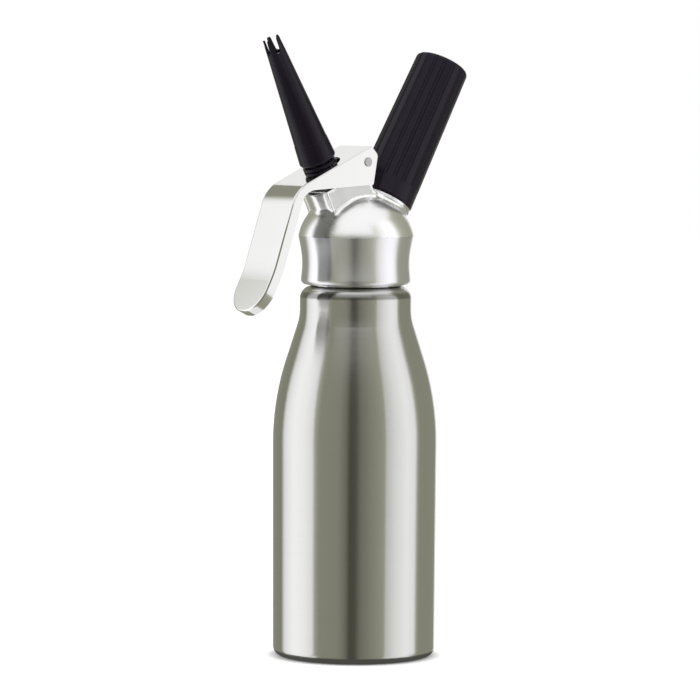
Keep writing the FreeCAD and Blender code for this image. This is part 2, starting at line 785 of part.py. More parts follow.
def make_gland():
    """What guides and seals the stem in the head's cup: a ring, a bush and the return spring on it."""
    section = "stem_ring_section"
    ring_middle = f"stem_radius + slip_gap + {section}"
    stem_ring = ring("stem_ring_torus", on_valve_axis, ring_middle, section,
                     f"gland_floor + slip_gap + {section}")
    keep(stem_ring, "stem_oring")
    bush_bottom = "gland_floor + 2 * slip_gap + 2 * stem_ring_section"
    flange_top = "cup_floor + gland_flange_thickness"
    bush = turned("bush", on_valve_axis, [
        ("stem_radius + running_gap", bush_bottom),
        ("gland_bore - running_gap", bush_bottom),
        ("gland_bore - running_gap", "cup_floor"),
        ("gland_flange_radius", "cup_floor"),
        ("gland_flange_radius", flange_top),
        ("stem_radius + running_gap", flange_top),
    ])
    keep(bush, "valve_gland")

    spring = new_body("spring", on_valve_axis)
    sketch = new_sketch(spring, "spring_wire", "XZ_Plane")
    first = f"{flange_top} + spring_wire_radius + slip_gap"
    wire = Part.Circle(FreeCAD.Vector(value("spring_radius"), value(first), 0),
                       FreeCAD.Vector(0, 0, 1), value("spring_wire_radius"))
    circle = sketch.addGeometry(wire, False)
    pin_point(sketch, circle, 3, ("spring_radius", first))
    constrain(sketch, "Radius", circle, size="spring_wire_radius")
    rise = f"shoulder_bottom - slip_gap - spring_wire_radius - ({first})"
    coil = spring.newObject("PartDesign::AdditiveHelix", "spring_coil")
    coil.Profile = sketch
    coil.ReferenceAxis = (sketch, ["V_Axis"])
    coil.Mode = 2
    coil.setExpression("Turns", bound("spring_turns"))
    coil.setExpression("Height", bound(rise))
    keep(spring, "valve_spring")


def make_adapter():
    """The adapter that carries the nozzle on the stem, its flange just over the lever's plate."""
    bottom = "plate_top + free_gap"
    flange_top = f"{bottom} + adapter_flange_thickness"
    neck_top = "nozzle_base - slip_gap"
    stem_hole = "stem_neck_radius + running_gap"
    ring_pocket = "stem_neck_radius + 2 * adapter_ring_section + 2 * slip_gap"
    pocket_top = f"{bottom} + 2 * adapter_ring_section + 2 * slip_gap"
    adapter = turned("adapter", on_valve_axis, [
        (ring_pocket, bottom),
        ("adapter_flange_radius", bottom),
        ("adapter_flange_radius", flange_top, "adapter_edge_rounding"),
        ("adapter_neck_radius", flange_top),
        ("adapter_neck_radius", neck_top),
        ("nozzle_thread_root", neck_top),
        ("nozzle_thread_root", "adapter_top"),
        ("adapter_outlet", "adapter_top"),
        ("adapter_outlet", "stem_end + slip_gap"),
        (stem_hole, "stem_end + slip_gap"),
        (stem_hole, pocket_top),
        (ring_pocket, pocket_top),
    ])
    lug = adapter.newObject("PartDesign::AdditiveCylinder", "adapter_lug")
    lug.AttachmentSupport = (origin_feature(adapter, "XY_Plane"), "")
    lug.MapMode = "FlatFace"
    lug.setExpression("Radius", bound("adapter_lug_radius"))
    lug.setExpression("Height", bound(f"{neck_top} - ({bottom})"))
    lug.setExpression("AttachmentOffset.Base.x", bound("adapter_neck_radius"))
    lug.setExpression("AttachmentOffset.Base.z", bound(bottom))
    doc.recompute()
    lugs = adapter.newObject("PartDesign::PolarPattern", "adapter_lugs")
    lugs.Originals = [lug]
    lugs.Axis = (origin_feature(adapter, "Z_Axis"), [""])
    lugs.Angle = 360
    lugs.setExpression("Occurrences", bound("adapter_lug_count"))
    adapter.Tip = lugs
    add_thread(adapter, "adapter_thread", "nozzle_thread_root", "nozzle_thread_crest",
               "nozzle_base + nozzle_thread_pitch", "nozzle_thread_pitch",
               "nozzle_thread_height")
    keep(adapter, "nozzle_adapter")
    adapter_ring = ring("adapter_ring_torus", on_valve_axis,
                        "stem_neck_radius + slip_gap + adapter_ring_section",
                        "adapter_ring_section",
                        f"{bottom} + slip_gap + adapter_ring_section")
    keep(adapter_ring, "adapter_oring")


def make_nozzle():
    """A long tulip nozzle with a toothed tip, and the steel thread ring moulded into its base."""
    insert_bore = "nozzle_thread_crest + thread_gap"
    insert_bottom = "nozzle_base + slip_gap"
    insert_top = f"{insert_bottom} + nozzle_insert_height"
    insert = turned("nozzle_ring", on_valve_axis, [
        (insert_bore, insert_bottom),
        ("nozzle_insert_radius", insert_bottom),
        ("nozzle_insert_radius", insert_top),
        (insert_bore, insert_top),
    ])
    add_thread(insert, "nozzle_ring_thread", insert_bore, "nozzle_thread_root + thread_gap",
               "nozzle_base + nozzle_thread_pitch * 3 / 2", "nozzle_thread_pitch",
               "nozzle_thread_height")
    keep(insert, "nozzle_insert")

    seal_radius = f"{insert_bore} - slip_gap"
    seal_bottom = "adapter_top + slip_gap"
    seal_top = f"{seal_bottom} + nozzle_seal_thickness"
    seal = turned("nozzle_washer", on_valve_axis, [
        ("adapter_outlet", seal_bottom),
        (seal_radius, seal_bottom),
        (seal_radius, seal_top),
        ("adapter_outlet", seal_top),
    ])
    keep(seal, "nozzle_seal")

    socket = "nozzle_insert_radius + running_gap"
    socket_top = f"{insert_top} + slip_gap"
    throat_bottom = f"{seal_top} + slip_gap"
    rim_bore = "nozzle_tip_radius - nozzle_tip_wall"
    taper = "((nozzle_base_radius - nozzle_tip_radius) / (nozzle_tip - nozzle_base))"
    band_top = "nozzle_base + nozzle_band_height"
    band_radius = f"nozzle_base_radius - {taper} * nozzle_band_height"
    nozzle = turned("nozzle_cone", on_valve_axis, [
        (socket, "nozzle_base"),
        ("nozzle_base_radius", "nozzle_base", "nozzle_base_rounding"),
        (band_radius, band_top),
        (f"{band_radius} - nozzle_step", f"{band_top} + nozzle_step"),
        ("nozzle_tip_radius", "nozzle_tip"),
        (rim_bore, "nozzle_tip"),
        (rim_bore, "nozzle_rim"),
        ("nozzle_throat", throat_bottom),
        (insert_bore, throat_bottom),
        (insert_bore, socket_top),
        (socket, socket_top),
    ])
    half_pitch = "(nozzle_tip_radius * sin(180 / tooth_count))"
    above = "nozzle_tip + nozzle_tip_wall"
    sketch = new_sketch(nozzle, "notch_outline", "YZ_Plane")
    draw_outline(sketch, [
        (f"-{half_pitch}", above),
        (f"-{half_pitch}", "nozzle_tip"),
        ("-notch_top_width / 2", "nozzle_tip", "tooth_tip_rounding"),
        ("-notch_root_width / 2", "nozzle_rim", "notch_root_rounding"),
        ("notch_root_width / 2", "nozzle_rim", "notch_root_rounding"),
        ("notch_top_width / 2", "nozzle_tip", "tooth_tip_rounding"),
        (half_pitch, "nozzle_tip"),
        (half_pitch, above),
    ])
    notch = nozzle.newObject("PartDesign::Pocket", "notch")
    notch.Profile = sketch
    notch.setExpression("Length", bound("2 * nozzle_tip_radius"))
    doc.recompute()
    notches = nozzle.newObject("PartDesign::PolarPattern", "notches")
    notches.Originals = [notch]
    notches.Axis = (origin_feature(nozzle, "Z_Axis"), [""])
    notches.Angle = 360
    notches.setExpression("Occurrences", bound("tooth_count"))
    nozzle.Tip = notches
    keep(nozzle, "nozzle")


def make_holder():
    """The fluted holder, closed at its far end, with a threaded metal ring in its mouth."""
    bottom = "collar_top + free_gap"
    top = f"{bottom} + holder_length"
    recess = "insert_radius + running_gap"
    recess_top = "stub_top + free_gap"
    seat_top = "charger_seat + charger_length + slip_gap"
    end = f"{top} - holder_end_thickness"
    holder = turned("holder", on_charger_axis, [
        (recess, bottom),
        ("holder_radius", bottom, "holder_foot_rounding"),
        ("holder_top_radius", top, "holder_top_rounding"),
        ("0", f"{top} + holder_crown"),
        ("0", end),
        ("holder_core_radius", end),
        ("holder_core_radius", seat_top),
        ("holder_bore", seat_top),
        ("holder_bore", recess_top),
        (recess, recess_top),
    ])
    slant = "atan((holder_radius - holder_top_radius) / holder_length)"
    groove_bottom = f"{bottom} + groove_start"
    local_radius = ("(holder_radius - (holder_radius - holder_top_radius)"
                    " * groove_start / holder_length)")
    groove = holder.newObject("PartDesign::SubtractiveCylinder", "groove")
    groove.AttachmentSupport = (origin_feature(holder, "XY_Plane"), "")
    groove.MapMode = "FlatFace"
    groove.AttachmentOffset = FreeCAD.Placement(
        FreeCAD.Vector(0, 0, 0), FreeCAD.Rotation(FreeCAD.Vector(0, -1, 0), value(slant)))
    groove.setExpression("Radius", bound("groove_radius"))
    groove.setExpression("Height", bound("holder_length"))
    groove.setExpression("AttachmentOffset.Base.x", bound(
        f"{local_radius} + groove_radius - groove_depth"))
    groove.setExpression("AttachmentOffset.Base.z", bound(groove_bottom))
    groove.setExpression("AttachmentOffset.Rotation.Angle", bound(slant))
    doc.recompute()
    grooves = holder.newObject("PartDesign::PolarPattern", "grooves")
    grooves.Originals = [groove]
    grooves.Axis = (origin_feature(holder, "Z_Axis"), [""])
    grooves.Angle = 360
    grooves.setExpression("Occurrences", bound("rib_count"))
    holder.Tip = grooves
    keep(holder, "charger_holder")

    ring_bore = "holder_thread_crest + thread_gap"
    ring_bottom = f"{bottom} + free_gap"
    ring_top = f"{recess_top} - slip_gap"
    insert = turned("holder_ring", on_charger_axis, [
        (ring_bore, ring_bottom),
        ("insert_radius", ring_bottom),
        ("insert_radius", ring_top),
        (ring_bore, ring_top),
    ])
    add_thread(insert, "holder_ring_thread", ring_bore, "holder_thread_root + thread_gap",
               "holder_thread_start + holder_thread_pitch * 3 / 4", "holder_thread_pitch",
               "holder_thread_height")
    keep(insert, "holder_insert")


def make_charger():
    """The steel gas charger, neck down on its seal, and the pin that has pierced its cap."""
    neck_top = "charger_seat + charger_neck_length"
    shoulder_end = f"{neck_top} + charger_shoulder_length"
    end = "charger_seat + charger_length"
    inside = "charger_radius - charger_wall"
    charger = turned("charger", on_charger_axis, [
        ("pierced_hole_radius", "charger_seat"),
        ("charger_neck_radius", "charger_seat"),
        ("charger_neck_radius", neck_top),
        ("charger_radius", shoulder_end, "charger_shoulder_rounding"),
        ("charger_radius", end, "charger_end_rounding"),
        ("0", end),
        ("0", f"{end} - charger_wall"),
        (inside, f"{end} - charger_wall", "charger_end_rounding - charger_wall"),
        (inside, shoulder_end),
        ("pierced_hole_radius", neck_top),
    ])
    keep(charger, "gas_charger")

    seal_top = "charger_seat - slip_gap"
    seal_bottom = f"{seal_top} - port_seal_thickness"
    seal = turned("port_seal", on_charger_axis, [
        ("piercing_pin_radius + slip_gap", seal_bottom),
        ("plug_bore - slip_gap", seal_bottom),
        ("plug_bore - slip_gap", seal_top),
        ("piercing_pin_radius + slip_gap", seal_top),
    ])
    keep(seal, "charger_seal")

    plug_bottom = f"{seal_bottom} - plug_thickness"
    nipple_bottom = f"{plug_bottom} - nipple_length"
    plug = turned("plug", on_charger_axis, [
        ("piercing_pin_radius", nipple_bottom),
        ("nipple_radius", nipple_bottom),
        ("nipple_radius", plug_bottom),
        ("plug_bore - running_gap", plug_bottom),
        ("plug_bore - running_gap", seal_bottom),
        ("piercing_pin_radius", seal_bottom),
    ])
    keep(plug, "pin_holder")
    pin = turned("pin", on_charger_axis, [
        ("0", nipple_bottom),
        ("piercing_pin_radius", nipple_bottom),
        ("piercing_pin_radius", "piercing_pin_tip - 2 * piercing_pin_radius"),
        ("0", "piercing_pin_tip"),
    ])
    keep(pin, "piercing_pin")
    sleeve = turned("sleeve", on_charger_axis, [
        ("nipple_radius", f"{nipple_bottom} + slip_gap"),
        ("nipple_radius + sleeve_thickness", f"{nipple_bottom} + slip_gap"),
        ("nipple_radius + sleeve_thickness", f"{plug_bottom} - slip_gap"),
        ("nipple_radius", f"{plug_bottom} - slip_gap"),
    ])
    keep(sleeve, "check_valve")


make_bottle()
make_gasket()
make_head()
make_lever()
make_lever_pin()
make_valve()
make_gland()
make_adapter()
make_nozzle()
make_holder()
make_charger()

doc.recompute()
for obj in doc.Objects:
    if "Invalid" in obj.State or "Error" in obj.State:
        raise RuntimeError(f"{obj.Label}: {obj.State}")
for obj in sub_parts:
    if obj.Shape.isNull() or not obj.Shape.isValid():
        raise RuntimeError(f"{obj.Label} has no valid shape")

os.makedirs("parts", exist_ok=True)
for obj in sub_parts:
    obj.Shape.exportStep(f"parts/{obj.Label}.step")
    print(f"{obj.Label}: {len(obj.Shape.Solids)} solid, {obj.Shape.Volume:.0f} mm3")
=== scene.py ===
import itertools
import math

import bpy
import numpy as np
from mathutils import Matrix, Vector


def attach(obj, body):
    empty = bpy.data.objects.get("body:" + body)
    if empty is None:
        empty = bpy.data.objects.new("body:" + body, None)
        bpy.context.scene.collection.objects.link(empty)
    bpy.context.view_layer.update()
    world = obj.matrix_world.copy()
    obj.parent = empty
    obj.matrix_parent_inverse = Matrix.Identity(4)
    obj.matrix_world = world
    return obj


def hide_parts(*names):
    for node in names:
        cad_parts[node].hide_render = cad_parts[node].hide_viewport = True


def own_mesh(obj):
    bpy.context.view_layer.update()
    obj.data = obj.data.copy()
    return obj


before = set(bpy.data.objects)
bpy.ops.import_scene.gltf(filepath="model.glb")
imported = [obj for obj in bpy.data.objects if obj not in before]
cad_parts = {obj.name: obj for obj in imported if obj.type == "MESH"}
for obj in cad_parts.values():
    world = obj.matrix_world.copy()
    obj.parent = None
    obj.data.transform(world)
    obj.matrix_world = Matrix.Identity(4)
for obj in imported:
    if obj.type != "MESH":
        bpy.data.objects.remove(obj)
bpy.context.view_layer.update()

# The bottle stands on the origin. The valve's axis leans towards -X and the charger's
# towards +X, both from one meeting point inside the head.
layout = {
    "meetingHeight": 0.196,
    "valveLean": -25.3,
    "chargerLean": 28.4,
}


class Socket:
    # a node's output that can stand in a Python sum
    def __init__(self, shader, out):
        self.shader = shader
        self.out = out

    def maths(self, operation, first, second):
        return self.shader.add("ShaderNodeMath", {"operation": operation}, {0: first, 1: second})

    def __add__(self, other):
        return self.maths("ADD", self, other)

    def __sub__(self, other):
        return self.maths("SUBTRACT", self, other)

    def __rsub__(self, other):
        return self.maths("SUBTRACT", other, self)

    def __mul__(self, other):
        return self.maths("MULTIPLY", self, other)

    __radd__ = __add__
    __rmul__ = __mul__


class Shader:
    # a material's or the world's nodes, with one way to add any of them
    def __init__(self, owner):
        owner.use_nodes = True
        self.owner = owner
        self.tree = owner.node_tree
        self.tree.nodes.clear()

    def add(self, kind, settings=None, inputs=None, output=0):
        node = self.tree.nodes.new(kind)
        for key, setting in (settings or {}).items():
            if key == "stops":
                self.setStops(node.color_ramp, setting)
            else:
                setattr(node, key, setting)
        for key, value in (inputs or {}).items():
            if isinstance(value, Socket):
                self.tree.links.new(value.out, node.inputs[key])
            else:
                node.inputs[key].default_value = value
        return Socket(self, node.outputs[output]) if node.outputs else None

    def setStops(self, ramp, stops):
        while len(ramp.elements) < len(stops):
            ramp.elements.new(1)
        for element, (place, colour) in zip(ramp.elements, stops):
            element.position = place
            element.color = (*colour, 1)

    def place(self):
        return self.add("ShaderNodeTexCoord", output="Object")

    def height(self):
        return self.add("ShaderNodeSeparateXYZ", {}, {"Vector": self.place()}, "Z")

    def noise(self, stretch, detail, turn=(0, 0, 0)):
        spread = self.add("ShaderNodeMapping", {},
                          {"Vector": self.place(), "Scale": stretch, "Rotation": turn})
        return self.add("ShaderNodeTexNoise", {},
                        {"Vector": spread, "Scale": 1.0, "Detail": detail}, "Fac")

    def mixed(self, amount, first, second):
        # each colour is three numbers or another node's output
        first, second = [colour if isinstance(colour, Socket) else (*colour, 1)
                         for colour in (first, second)]
        return self.add("ShaderNodeMix", {"data_type": "RGBA"},
                        {0: amount, 6: first, 7: second}, 2)    # where its colour sockets are

    def step(self, value, start, end):
        # nothing at the start, all of it at the end
        return self.add("ShaderNodeMapRange", {}, {
            "Value": value, "From Min": start, "From Max": end}, "Result")

    def bump(self, height, depth):
        return self.add("ShaderNodeBump", {},
                        {"Height": height, "Distance": depth, "Strength": 1.0}, "Normal")

    def surface(self, shown):
        self.add("ShaderNodeOutputMaterial", {}, {"Surface": shown})
        return self.owner


def surfaceShader(name, inputs, build):
    # a Principled surface: fixed numbers first, then what build makes vary over it
    shader = Shader(bpy.data.materials.new(name))
    sockets = dict(inputs)
    sockets.update(build(shader))
    return shader.surface(shader.add("ShaderNodeBsdfPrincipled", {}, sockets))


bottleFinish = {
    "light": (0.645, 0.645, 0.635),
    "dark": (0.595, 0.595, 0.585),
    "roughness": 0.17,
    "ringStretch": (6, 6, 2600),    # the brushed rings, fine up and down
    "ringSpread": 0.08,             # how much they differ in roughness
    "ringDepth": 0.000004,
    "smudgeStretch": (22, 22, 14),
    "smudgeSpread": 0.05,
    "anisotropy": 0.97,
    # the colour of the painted shade in a band at the top edge, under the head's skirt
    "lipShade": (0.30, 0.30, 0.29),
    "lipShadeBand": (0.1772, 0.1800),    # heights between which the base colour is darkened, as painted shade under the head's skirt
    "lipShadeBlur": 0.0005,
}


def bottleSteel():
    # finely brushed round the bottle, so that reflections run up and down it, with a band of
    # painted shade at its top under the head
    steel = bottleFinish

    def build(shader):
        rings = shader.noise(steel["ringStretch"], detail=4)
        smudges = shader.noise(steel["smudgeStretch"], detail=2)
        rough = steel["roughness"] + steel["ringSpread"] * (rings - 0.5)
        height = shader.height()
        low, high = steel["lipShadeBand"]
        blur = steel["lipShadeBlur"]
        # painted shade: the base colour darkens in a band at the top edge, where the head's
        # skirt overhangs it
        lipShaded = shader.step(height, low - blur, low + blur)
        lipShaded = lipShaded * shader.step(height, high + blur, high - blur)
        brushed = shader.mixed(rings, steel["dark"], steel["light"])
        return {
            "Base Color": shader.mixed(lipShaded, brushed, steel["lipShade"]),
            "Roughness": rough + steel["smudgeSpread"] * (smudges - 0.5),
            "Normal": shader.bump(rings, steel["ringDepth"]),
        }

    return surfaceShader("bottleSteel", {
        "Metallic": 1.0, "Anisotropic": steel["anisotropy"], "Anisotropic Rotation": 0.25,
    }, build)


headFinish = {
    "light": (0.87, 0.87, 0.90),
    "dark": (0.83, 0.83, 0.86),
    "roughness": 0.31,
    "grainStretch": (900, 900, 2400),
    "grainSpread": 0.03,
    "grainDepth": 0.0000002,
    "smudgeStretch": (45, 45, 45),
    "smudgeSpread": 0.05,
    "anisotropy": 0.92,
}

# the dome and what grows out of it have a finer, whiter satin than the turned skirt
domeFinish = dict(headFinish, light=(0.95, 0.95, 0.95), dark=(0.92, 0.92, 0.92),
                  roughness=0.27, grainSpread=0.02, grainDepth=0.0000005, anisotropy=0.0)

# the saddle's flat sides get a darker copy of the steel, painted shade, so they look greyer than
# the rest
saddleShadeFinish = dict(headFinish, light=(0.63, 0.63, 0.63), dark=(0.57, 0.57, 0.57),
                    roughness=0.34, anisotropy=0.0)


def castSteel(name, steel):
    def build(shader):
        grain = shader.noise(steel["grainStretch"], detail=4)
        smudges = shader.noise(steel["smudgeStretch"], detail=2)
        rough = steel["roughness"] + steel["grainSpread"] * (grain - 0.5)
        return {
            "Base Color": shader.mixed(smudges, steel["dark"], steel["light"]),
            "Roughness": rough + steel["smudgeSpread"] * (smudges - 0.5),
            "Normal": shader.bump(grain, steel["grainDepth"]),
        }

    return surfaceShader(name, {
        "Metallic": 1.0, "Anisotropic": steel["anisotropy"], "Anisotropic Rotation": 0.25,
    }, build)


leverFinish = {
    "light": (0.79, 0.79, 0.785),
    "dark": (0.75, 0.75, 0.745),
    "roughness": 0.09,
    "wipeStretch": (160, 35, 60),
    "wipeTurn": (0, 0.3, 0),
    "wipeSpread": 0.06,
    "polishStretch": (1500, 500, 1500),
    "polishDepth": 0.000002,
    "insideFaces": (0.80, 0.0, -0.60),    # the way that the hollow side looks, at rest
    "insideBlend": (0.45, 0.75),          # how nearly a face has to look that way
    "insideRoughness": 0.32,
    "upperShade": (0.30, 0.30, 0.29),          # dark, painted shade on the hollow side in its upper part
    "upperShadeFrom": 0.186,
    "upperShadeBlur": 0.008,
    "blasted": (0.92, 0.92, 0.91),        # pale and dull, along the handle
    "blastedMetallic": 0.45,
}


def leverSteel():
    # polished sheet with faint wiping marks, and a hollow side that was never polished, with
    # painted shade on its upper part
    steel = leverFinish

    def build(shader):
        wipes = shader.noise(steel["wipeStretch"], detail=3, turn=steel["wipeTurn"])
        fine = shader.noise(steel["polishStretch"], detail=3)
        facing = shader.add("ShaderNodeTexCoord", output="Normal")
        along = shader.add("ShaderNodeVectorMath", {"operation": "DOT_PRODUCT"},
                           {0: facing, 1: steel["insideFaces"]}, "Value")
        hollow = shader.step(along, *steel["insideBlend"])
        upper = shader.step(shader.height(), steel["upperShadeFrom"] - steel["upperShadeBlur"],
                            steel["upperShadeFrom"] + steel["upperShadeBlur"])
        blasted = hollow * (1 - upper)
        outside = shader.mixed(wipes, steel["dark"], steel["light"])
        dull = shader.mixed(blasted, outside, steel["blasted"])
        rough = steel["roughness"] + steel["wipeSpread"] * (wipes - 0.4)
        return {
            # painted shade: the hollow side's faces in the upper part take the dark colour
            "Base Color": shader.mixed(hollow * upper, dull, steel["upperShade"]),
            "Metallic": 1 - (1 - steel["blastedMetallic"]) * blasted,
            "Roughness": rough + (steel["insideRoughness"] - steel["roughness"]) * hollow,
            "Normal": shader.bump(fine, steel["polishDepth"]),
        }

    return surfaceShader("leverSteel", {}, build)


machinedFinish = {
    "light": (0.62, 0.61, 0.58),
    "roughness": 0.26,
    "markStretch": (300, 300, 5200),
    "markShade": 0.92,        # how dark the bottom of a tool mark is
    "markSpread": 0.12,
    "markDepth": 0.000006,
}
pinFinish = dict(machinedFinish, light=(0.46, 0.46, 0.45), roughness=0.30)
chargerFinish = dict(machinedFinish, light=(0.72, 0.72, 0.72), roughness=0.20)


def machinedSteel(name, steel):
    # turned or drawn small pieces, with fine tool marks across their axis
    def build(shader):
        marks = shader.noise(steel["markStretch"], detail=3)
        dark = tuple(steel["markShade"] * part for part in steel["light"])
        return {
            "Base Color": shader.mixed(marks, dark, steel["light"]),
            "Roughness": steel["roughness"] + steel["markSpread"] * (marks - 0.5),
            "Normal": shader.bump(marks, steel["markDepth"]),
        }

    return surfaceShader(name, {"Metallic": 1.0}, build)


plasticFinish = {
    "light": (0.013, 0.008, 0.017),
    "dark": (0.007, 0.004, 0.010),
    "roughness": 0.25,
    "specular": 0.18,
    "flowStretch": (70, 70, 24),      # how the melt ran in the mould
    "flowSpread": 0.08,
    "grainStretch": (2600, 2600, 2600),
    "grainSpread": 0.06,
    "grainDepth": 0.000006,
}


def blackPlastic():
    # near-black moulded plastic with a faint purple cast and a soft sheen
    plastic = plasticFinish

    def build(shader):
        grain = shader.noise(plastic["grainStretch"], detail=2)
        flow = shader.noise(plastic["flowStretch"], detail=2)
        rough = plastic["roughness"] + plastic["flowSpread"] * (flow - 0.5)
        return {
            "Base Color": shader.mixed(flow, plastic["dark"], plastic["light"]),
            "Roughness": rough + plastic["grainSpread"] * (grain - 0.5),
            "Normal": shader.bump(grain, plastic["grainDepth"]),
        }

    return surfaceShader("blackPlastic", {
        "IOR": 1.5, "Specular IOR Level": plastic["specular"]}, build)


rubberFinish = {
    "light": (0.040, 0.040, 0.042),
    "dark": (0.018, 0.018, 0.019),
    "roughness": 0.62,
    "specular": 0.35,
    "bloomStretch": (260, 260, 260),
    "bloomSpread": 0.16,
    "bloomDepth": 0.00002,
}


def sealRubber():
    rubber = rubberFinish

    def build(shader):
        bloom = shader.noise(rubber["bloomStretch"], detail=3)
        return {
            "Base Color": shader.mixed(bloom, rubber["dark"], rubber["light"]),
            "Roughness": rubber["roughness"] + rubber["bloomSpread"] * (bloom - 0.5),
            "Normal": shader.bump(bloom, rubber["bloomDepth"]),
        }

    return surfaceShader("sealRubber", {"Specular IOR Level": rubber["specular"]}, build)


finishes = {
    "bottle": bottleSteel(),
    "head": castSteel("headSteel", headFinish),
    "dome": castSteel("domeSteel", domeFinish),
    "saddle": castSteel("saddleShadedSteel", saddleShadeFinish),
    "lever": leverSteel(),
    "machined": machinedSteel("machinedSteel", machinedFinish),
    "pin": machinedSteel("pinSteel", pinFinish),
    "charger": machinedSteel("chargerSteel", chargerFinish),
    "plastic": blackPlastic(),
    "rubber": sealRubber(),
}

# what each piece is made of
pieceFinishes = {
    "bottle": ["bottle"],
    "head": ["head"],
    "pin": ["lever_pin"],
    "lever": ["lever"],
    "machined": ["valve_stem", "seal_washer", "valve_nut", "valve_gland", "valve_spring",
                 "nozzle_insert", "holder_insert", "pin_holder", "piercing_pin"],
    "charger": ["gas_charger"],
    "plastic": ["nozzle_adapter", "nozzle", "charger_holder"],
    "rubber": ["head_gasket", "valve_seal", "stem_oring", "adapter_oring", "nozzle_seal",
               "charger_seal", "check_valve"],
}


def dress(name, finish):
    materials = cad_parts[name].data.materials
    materials.clear()
    materials.append(finishes[finish])


for finish, names in pieceFinishes.items():
    for name in names:
        dress(name, finish)
print("finishes done")


def meshPiece(name, points, faces, finish, body, normals=None):
    mesh = bpy.data.meshes.new(name)
    mesh.from_pydata([tuple(point) for point in points], [], [tuple(face) for face in faces])
    mesh.polygons.foreach_set("use_smooth", [True] * len(mesh.polygons))
    mesh.materials.append(finishes[finish])
    if normals is not None:
        mesh.normals_split_custom_set_from_vertices([tuple(normal) for normal in normals])
    piece = bpy.data.objects.new(name, mesh)
    bpy.context.scene.collection.objects.link(piece)
    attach(piece, body)
    return piece


# The head is one casting, so its cup, saddle and charger boss flow into the dome. This skin
# lies on those parts of it, with the hollows between them filled as a foundry would.
# Tops, floors and the saddle's front and back are measured from the meeting point.
casting = {
    "cell": 0.0004,           # the size of the skin's faces
    "standOff": 0.00012,      # how far it stands proud of the casting
    "roomHalfWidth": 0.031, "roomTop": 0.243,        # where it is looked for
    "roomBelowCrease": 0.003,
    "crease": (0.0283, 0.2072),                      # the dome's corners: radius and height
    "shoulder": (0.0266, 0.2166), "shoulderRound": 0.024,
    "crown": (0.0121, 0.228), "crownRound": 0.024,
    "skirtFlare": 0.001, "skirtDrop": 0.011,         # how its line goes on below the crease
    "cupRadius": 0.0108, "cupTop": 0.0400, "cupRound": 0.0008,
    "cupBore": 0.0085, "cupBoreFloor": 0.0330,
    "saddleHalfWidth": 0.0115, "saddleTop": 0.0410, "saddleRound": 0.0012,
    "saddleFront": -0.0088, "saddleBack": 0.0166,
    "bossRadius": 0.0139, "bossTop": 0.0316, "bossRound": 0.0001,
    "rootFloor": 0.020,       # saddle and boss start inside the dome
    "domeFillet": 0.0016,
    "cupFillet": 0.0016,
    "bossFillet": 0.0024,
    "collarGap": (0.0006, 0.0004),     # no skin from here inwards and up, at the boss's edge
    "collarFrom": 0.004,               # and that only behind the cup
    "boreGap": (0.0003, 0.002),        # none from here inwards and down, at the bore's floor
    "shadedTilt": 0.97,                # faces that look this straight sideways get the painted shade
    "shadedMargin": 0.001,
}


def arcRound(before, here, after, radius, steps=40):
    # the points of the arc that rounds the outline's corner here
    back = (before - here).normalized()
    ahead = (after - here).normalized()
    half = back.angle(ahead) / 2
    centre = here + (back + ahead).normalized() * (radius / math.sin(half))
    start = here + back * (radius / math.tan(half)) - centre
    end = here + ahead * (radius / math.tan(half)) - centre
    sweep = start.angle_signed(end)
    turned = []
    for step in range(steps + 1):
        angle = sweep * step / steps
        turned.append(centre + Vector((start.x * math.cos(angle) + start.y * math.sin(angle),
                                       start.y * math.cos(angle) - start.x * math.sin(angle))))
    return turned


def smoothUnion(first, second, fillet):
    # both forms at once, with the hollow where they meet filled
    share = np.clip(0.5 + 0.5 * (second - first) / fillet, 0, 1)
    return second * (1 - share) + first * share - fillet * share * (1 - share)


def intoAxis(points, lean):
    # a place across the axis, sideways, and along it from the meeting point
    angle = math.radians(lean)
    x, y, z = points[:, 0], points[:, 1], points[:, 2] - layout["meetingHeight"]
    return (x * math.cos(angle) - z * math.sin(angle), y,
            x * math.sin(angle) + z * math.cos(angle))


def roundBar(across, sideways, along, radius, top, rounding):
    # how far outside a bar each place lies
    out = np.hypot(across, sideways) - radius + rounding
    over = along - top + rounding
    beyond = np.hypot(np.maximum(out, 0), np.maximum(over, 0))
    return beyond + np.minimum(np.maximum(out, over), 0) - rounding


def roundBlock(across, sideways, along, low, high, halfWidth, rounding):
    # the same for a block, whose low and high corners give across and along
    middle = [(low[0] + high[0]) / 2, 0, (low[1] + high[1]) / 2]
    half = [(high[0] - low[0]) / 2, halfWidth, (high[1] - low[1]) / 2]
    past = [np.abs(place - centre) - size + rounding
            for place, centre, size in zip((across, sideways, along), middle, half)]
    beyond = np.sqrt(sum(np.maximum(side, 0) ** 2 for side in past))
    return beyond + np.minimum(np.maximum.reduce(past), 0) - rounding


def domeReach(stretches=12):
    # how far the dome lies from the meeting point, for every angle from straight up
    crease, shoulder, crown = [
        Vector(casting[corner]) for corner in ("crease", "shoulder", "crown")]
    radius, height = casting["crease"]
    skirt = Vector((radius + casting["skirtFlare"], height - casting["skirtDrop"]))
    peak = Vector((0, casting["crown"][1]))
    outline = [skirt, crease]
    outline += arcRound(crease, shoulder, crown, casting["shoulderRound"])
    outline += arcRound(shoulder, crown, peak, casting["crownRound"])
    outline.append(peak)
    dense = []
    for start, end in zip(outline, outline[1:]):
        dense += [start.lerp(end, step / stretches) for step in range(stretches)]
    dense.append(peak)
    centre = Vector((0, layout["meetingHeight"]))
    angles = [math.atan2((place - centre).x, (place - centre).y) for place in dense]
    reaches = [(place - centre).length for place in dense]
    return np.array(angles[::-1]), np.array(reaches[::-1])


domeAngles, domeReaches = domeReach()


